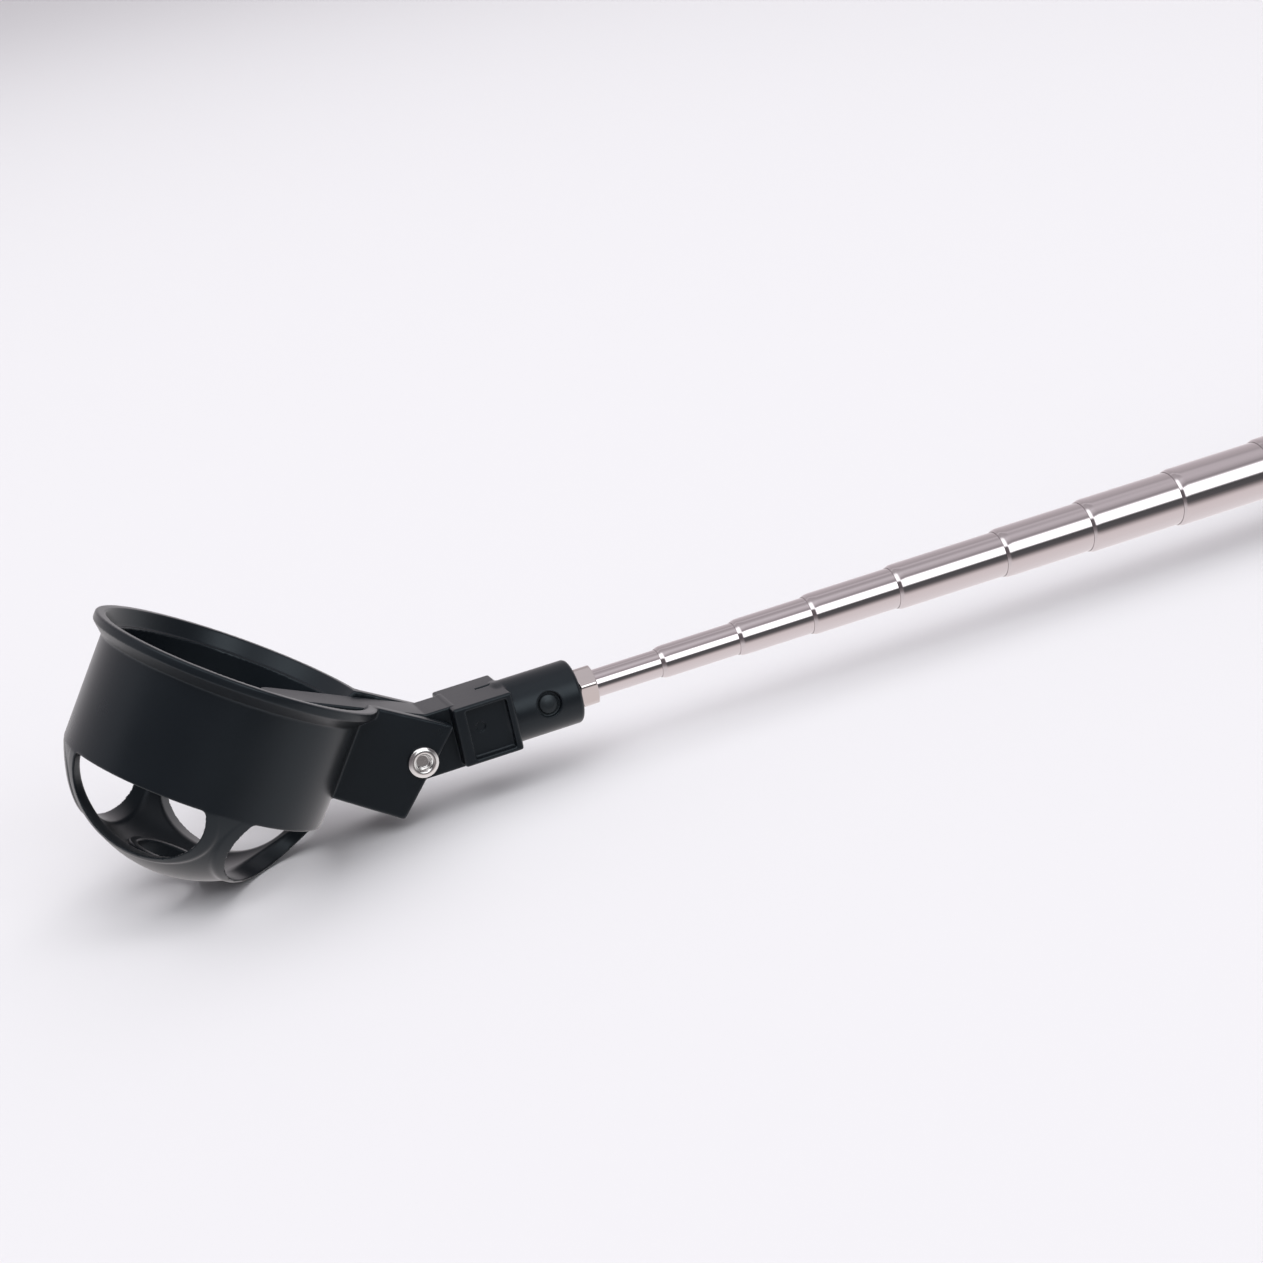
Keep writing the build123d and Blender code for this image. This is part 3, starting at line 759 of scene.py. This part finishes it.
# ---- Grip collar: place, radius, rounding ----
last_radius = FIRST_RADIUS + STEP * (len(FRONTS) - 1) + 0.02
collar = [
    (213.0, last_radius, 0.1),
    (213.0, 8.4, 0.5),
    (214.2, 9.2, 0.8),
    (216.6, 9.75, 0.2),
    (216.9, 9.45, 0.15),
    (217.5, 9.6, 0.15),
    (217.8, 10.05, 0.2),
    (GRIP_START, 11.2, 0.3),
    (GRIP_START, CORE_RADIUS, 0.1),
    (224.0, CORE_RADIUS, 0.1),
    (224.0, last_radius, 0.1),
]
verts, faces, normals = turned(collar, 160, (PIN_X, 0, AXIS_Z), (1, 0, 0))
make_piece("grip_collar_turned", verts, faces, normals, "handle_plastic", "handle", ["grip_collar"])


# ---- Rubber grip: ring grooves, and fluted bands between them ----
def grip_mesh():
    """Vertices and quads of the grip, from its outside round to its bore."""
    body = np.arange(GRIP_START, CORE_END - 0.9, GRIP_STEP)
    places = np.concatenate((body, np.linspace(CORE_END - GRIP_EDGE, CORE_END, 6)))
    taper = np.clip((places - GRIP_START) / (GRIP_TAPER_END - GRIP_START), 0, 1)
    outer = GRIP_FRONT_RADIUS + (GRIP_RADIUS - GRIP_FRONT_RADIUS) * taper
    ends = np.minimum(np.minimum(places - GRIP_START, CORE_END - places), GRIP_EDGE)
    fall = np.sqrt(np.maximum(GRIP_EDGE**2 - (GRIP_EDGE - ends) ** 2, 0))
    outer = outer - (GRIP_EDGE - fall)
    phase = (places - GROOVE_FIRST) / GROOVE_PITCH
    nearest = np.abs(phase - np.round(phase)) * GROOVE_PITCH
    grooved = (places > GROOVE_RANGE[0]) & (places < GROOVE_RANGE[1])
    groove = GROOVE_DEPTH * np.exp(-((nearest / GROOVE_HALF) ** 4)) * grooved
    fluted = (places > FLUTE_RANGE[0]) & (places < FLUTE_RANGE[1])
    band = np.clip((nearest - FLUTE_GAP) / FLUTE_FADE, 0, 1) * fluted
    band = band * band * (3 - 2 * band)
    angle = 2 * math.pi * np.arange(GRIP_SEGMENTS) / GRIP_SEGMENTS
    flutes = FLUTE_DEPTH * (0.5 - 0.5 * np.cos(FLUTE_COUNT * angle)) ** 3
    radius = outer[:, None] - groove[:, None] - band[:, None] * flutes[None, :]
    x = np.repeat(places[:, None], GRIP_SEGMENTS, 1) + PIN_X
    y = radius * np.cos(angle)
    z = radius * np.sin(angle) + AXIS_Z
    rings = [np.stack((x, y, z), 2).reshape(-1, 3)]
    bore_y, bore_z = CORE_RADIUS * np.cos(angle), CORE_RADIUS * np.sin(angle) + AXIS_Z
    for place in (CORE_END, GRIP_START):
        rings.append(np.column_stack((np.full(GRIP_SEGMENTS, PIN_X + place), bore_y, bore_z)))
    verts = np.concatenate(rings)
    faces = []
    count = len(places) + 2
    for i in range(count):
        a, b = i * GRIP_SEGMENTS, ((i + 1) % count) * GRIP_SEGMENTS
        for j in range(GRIP_SEGMENTS):
            k = (j + 1) % GRIP_SEGMENTS
            faces.append([a + j, a + k, b + k, b + j])
    f = faces[len(faces) // 2]
    across = np.cross(verts[f[1]] - verts[f[0]], verts[f[2]] - verts[f[0]])
    outward = verts[f[0]] - np.array([verts[f[0]][0], 0, AXIS_Z])
    if np.dot(across, outward) < 0:
        faces = [face[::-1] for face in faces]
    return verts, faces


verts, faces = grip_mesh()
make_piece("handle_grip_rubber", verts, faces, None, "grip_rubber", "handle", ["handle_grip"])


# ---- End cap with its lanyard tab ----
def cap_field(p):
    """Cap disc, lanyard tab and spigot; the bare numbers are roundings."""
    s, y, h = p[:, 0] - PIN_X, p[:, 1], p[:, 2] - AXIS_Z
    radius = np.hypot(y, h)
    disc = rod_field(s, radius, CORE_END + CAP_GAP, CORE_END + CAP_THICKNESS, CAP_RADIUS, 0.3)
    bevel = (radius + s - (CAP_RADIUS + CORE_END + CAP_THICKNESS - CAP_BEVEL)) / math.sqrt(2)
    disc = smax(disc, bevel, 1.2)
    flat = np.hypot(np.maximum(s - TAB_CENTRE, 0), h) - TAB_HALF
    tab = smax(smax(flat, np.abs(y) - TAB_THICKNESS / 2, 1.0), CORE_END + 2 - s, 0.3)
    body = smin(disc, tab, 0.9)
    body = smax(body, LANYARD_RADIUS - np.hypot(s - TAB_CENTRE, h), 0.9)
    spigot = rod_field(s, radius, SPIGOT_START, CORE_END + 1, SPIGOT_RADIUS, 0.2)
    return np.minimum(body, spigot)


low = (PIN_X + SPIGOT_START - 0.5, -13.3, AXIS_Z - 13.3)
high = (PIN_X + 412.0, 13.3, AXIS_Z + 13.3)
verts, quads, normals = skin_of(cap_field, low, high, CAP_CELL)
make_piece("end_cap_shell", verts, quads, normals, "handle_plastic", "handle", ["end_cap"])

# ---- Floor, light and sky, metres ----
FLOOR_HALF = 6
FLOOR_COLOUR = (0.680, 0.684, 0.703)
LAMP_WIDTH = 2.8
LAMP_DEPTH = 4.6
LAMP_POWER = 49.0
LAMP_PLACE = (-0.1, 0.05, 2.0)
floor_mesh = bpy.data.meshes.new("floor")
corners = [(x * FLOOR_HALF, y * FLOOR_HALF, 0) for x, y in ((-1, -1), (1, -1), (1, 1), (-1, 1))]
floor_mesh.from_pydata(corners, [], [(0, 1, 2, 3)])
floor = bpy.data.objects.new("floor", floor_mesh)
bpy.context.scene.collection.objects.link(floor)
floor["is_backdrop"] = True
floor_paint = bpy.data.materials.new("floor_paint")
floor_paint.use_nodes = True
floor_shader = floor_paint.node_tree.nodes["Principled BSDF"]
floor_shader.inputs["Base Color"].default_value = (*FLOOR_COLOUR, 1)
floor_shader.inputs["Roughness"].default_value = 0.9
floor_shader.inputs["Specular IOR Level"].default_value = 0.1
floor_mesh.materials.append(floor_paint)
floor.visible_glossy = False

lamp = bpy.data.lights.new("overhead", "AREA")
lamp.shape = "RECTANGLE"
lamp.size = LAMP_WIDTH
lamp.size_y = LAMP_DEPTH
lamp.energy = LAMP_POWER
lamp_object = bpy.data.objects.new("overhead", lamp)
lamp_object.location = LAMP_PLACE
lamp_object.visible_glossy = False
lamp_object.visible_camera = False
bpy.context.scene.collection.objects.link(lamp_object)
lamp_object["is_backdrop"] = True

# Each sky is colours by the height of the direction, from -1 straight down to 1 straight up
SKY_SCALE = 2.4
RIGHT_SKY = [
    (-1.00, (1.00, 0.94, 0.95)),
    (-0.62, (0.92, 0.84, 0.84)),
    (-0.48, (0.60, 0.54, 0.54)),
    (-0.38, (0.30, 0.27, 0.27)),
    (-0.26, (0.13, 0.125, 0.13)),
    (0.05, (0.10, 0.10, 0.105)),
    (0.10, (0.30, 0.30, 0.31)),
    (0.15, (1.70, 1.70, 1.72)),
    (0.20, (2.20, 2.20, 2.25)),
    (0.62, (2.20, 2.20, 2.25)),
    (0.69, (0.60, 0.56, 0.58)),
    (0.74, (0.38, 0.35, 0.37)),
    (0.79, (0.52, 0.48, 0.50)),
    (0.87, (0.70, 0.65, 0.68)),
    (0.93, (0.80, 0.76, 0.79)),
    (1.00, (0.70, 0.66, 0.69)),
]
FAR_RIGHT_SKY = [
    (-1.00, (1.00, 0.94, 0.95)),
    (-0.30, (0.90, 0.86, 0.87)),
    (-0.05, (0.40, 0.38, 0.39)),
    (0.15, (0.12, 0.11, 0.12)),
    (0.80, (0.20, 0.19, 0.20)),
    (1.00, (0.60, 0.56, 0.58)),
]
LEFT_SKY = [
    (-1.00, (1.00, 0.94, 0.95)),
    (-0.50, (0.80, 0.75, 0.76)),
    (-0.20, (0.30, 0.27, 0.28)),
    (0.10, (0.16, 0.14, 0.15)),
    (0.55, (0.20, 0.18, 0.19)),
    (0.66, (1.80, 1.80, 1.84)),
    (0.97, (1.80, 1.80, 1.84)),
    (1.00, (0.80, 0.76, 0.79)),
]
BACK_SKY = [
    (-1.00, (1.00, 0.94, 0.95)),
    (-0.20, (1.00, 0.96, 0.98)),
    (-0.03, (0.97, 0.93, 0.96)),
    (0.10, (0.86, 0.80, 0.83)),
    (0.41, (0.70, 0.64, 0.67)),
    (0.74, (0.58, 0.53, 0.55)),
    (0.82, (0.52, 0.48, 0.50)),
    (0.88, (0.72, 0.67, 0.70)),
    (0.93, (0.50, 0.46, 0.48)),
    (1.00, (0.55, 0.51, 0.53)),
]
world = bpy.data.worlds.new("studio")
bpy.context.scene.world = world
world.use_nodes = True
tree = world.node_tree
shine = tree.nodes["Background"]
shine.inputs["Strength"].default_value = SKY_SCALE
where = tree.nodes.new("ShaderNodeTexCoord")
split = tree.nodes.new("ShaderNodeSeparateXYZ")
tree.links.new(where.outputs["Generated"], split.inputs["Vector"])
height = tree.nodes.new("ShaderNodeMapRange")
height.inputs["From Min"].default_value = -1
height.inputs["From Max"].default_value = 1
tree.links.new(split.outputs["Z"], height.inputs["Value"])
ramps = []
for stops in (RIGHT_SKY, LEFT_SKY, BACK_SKY, FAR_RIGHT_SKY):
    ramp = tree.nodes.new("ShaderNodeValToRGB")
    tree.links.new(height.outputs["Result"], ramp.inputs["Fac"])
    elements = ramp.color_ramp.elements
    while len(elements) < len(stops):
        elements.new(0.5)
    for element, (z, colour) in zip(elements, stops):
        element.position = (z + 1) / 2
    for element, (z, colour) in zip(elements, stops):
        element.color = (*[c / SKY_SCALE for c in colour], 1)
    ramps.append(ramp)


def sky_blend(first, second, along, start, end):
    """Mix two sky colours by one part of the direction."""
    share = tree.nodes.new("ShaderNodeMapRange")
    share.interpolation_type = "SMOOTHSTEP"
    share.inputs["From Min"].default_value = start
    share.inputs["From Max"].default_value = end
    tree.links.new(split.outputs[along], share.inputs["Value"])
    mix = tree.nodes.new("ShaderNodeMix")
    mix.data_type = "RGBA"
    tree.links.new(share.outputs["Result"], mix.inputs[0])
    tree.links.new(first, mix.inputs[6])
    tree.links.new(second, mix.inputs[7])
    return mix.outputs[2]


front = sky_blend(ramps[1].outputs["Color"], ramps[0].outputs["Color"], "X", -0.25, 0.1)
front = sky_blend(front, ramps[3].outputs["Color"], "X", 0.52, 0.62)
whole = sky_blend(front, ramps[2].outputs["Color"], "Y", -0.25, 0.1)
tree.links.new(whole, shine.inputs["Color"])

# ---- Camera: its right, down and forward directions, and its place in millimetres ----
IMAGE_SIDE = 1263
FOCAL_LENGTH = 2808.999  # in the same unit as the image's side
SENSOR_SIDE = 36
EYE = (-106.481408, -527.051211, 178.738547)
ROWS = (
    (0.91712095, -0.34021948, -0.20770138),
    (-0.29087555, -0.21494103, -0.93230455),
    (0.27254462, 0.91545129, -0.29608845),
)
eye = Vector((PIN_X + EYE[0], EYE[1], AXIS_Z + EYE[2])) / 1000
camera = bpy.data.cameras.new("camera")
camera.sensor_width = SENSOR_SIDE
camera.lens = FOCAL_LENGTH / IMAGE_SIDE * SENSOR_SIDE
camera.clip_start = 0.01
camera.clip_end = 20
camera_object = bpy.data.objects.new("camera", camera)
bpy.context.scene.collection.objects.link(camera_object)
camera_object.matrix_world = Matrix(
    [[ROWS[0][i], -ROWS[1][i], -ROWS[2][i], eye[i]] for i in range(3)] + [[0, 0, 0, 1]]
)
bpy.context.scene.camera = camera_object
bpy.context.scene.view_settings.view_transform = "Standard"

low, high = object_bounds()
